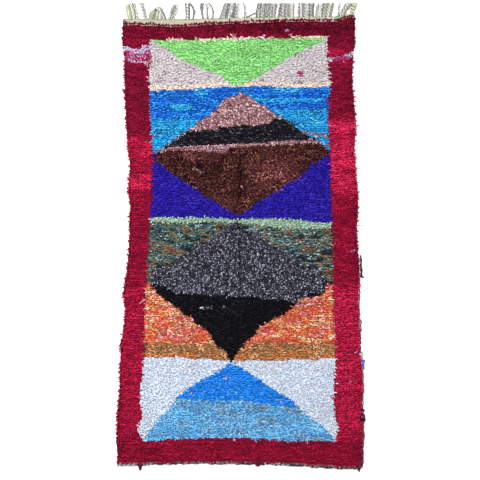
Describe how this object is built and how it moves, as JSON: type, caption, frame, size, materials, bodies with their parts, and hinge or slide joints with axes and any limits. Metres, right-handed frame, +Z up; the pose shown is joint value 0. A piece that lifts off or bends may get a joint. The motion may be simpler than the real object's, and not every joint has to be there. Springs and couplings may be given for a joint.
{
  "type": "boucherouite rug",
  "caption": "Oblong knotted rag-pile rug with an uneven outline, lying flat, with free warp fringe at one end.",
  "frame": {"origin": "on the underside, below the middle of the rug and its fringe", "axes": "+X across the rug, +Y along it towards the fringe, +Z up out of the pile"},
  "size_m": [1.3178, 2.4786, 0.02],
  "materials": {
    "rag_pile": "shaggy cut-rag pile, matt",
    "warp_yarn": "plied cotton and wool yarn, matt"
  },
  "bodies": {
    "root": {"rug": "rag_pile", "warp_fringe": "warp_yarn"}
  },
  "joints": []
}
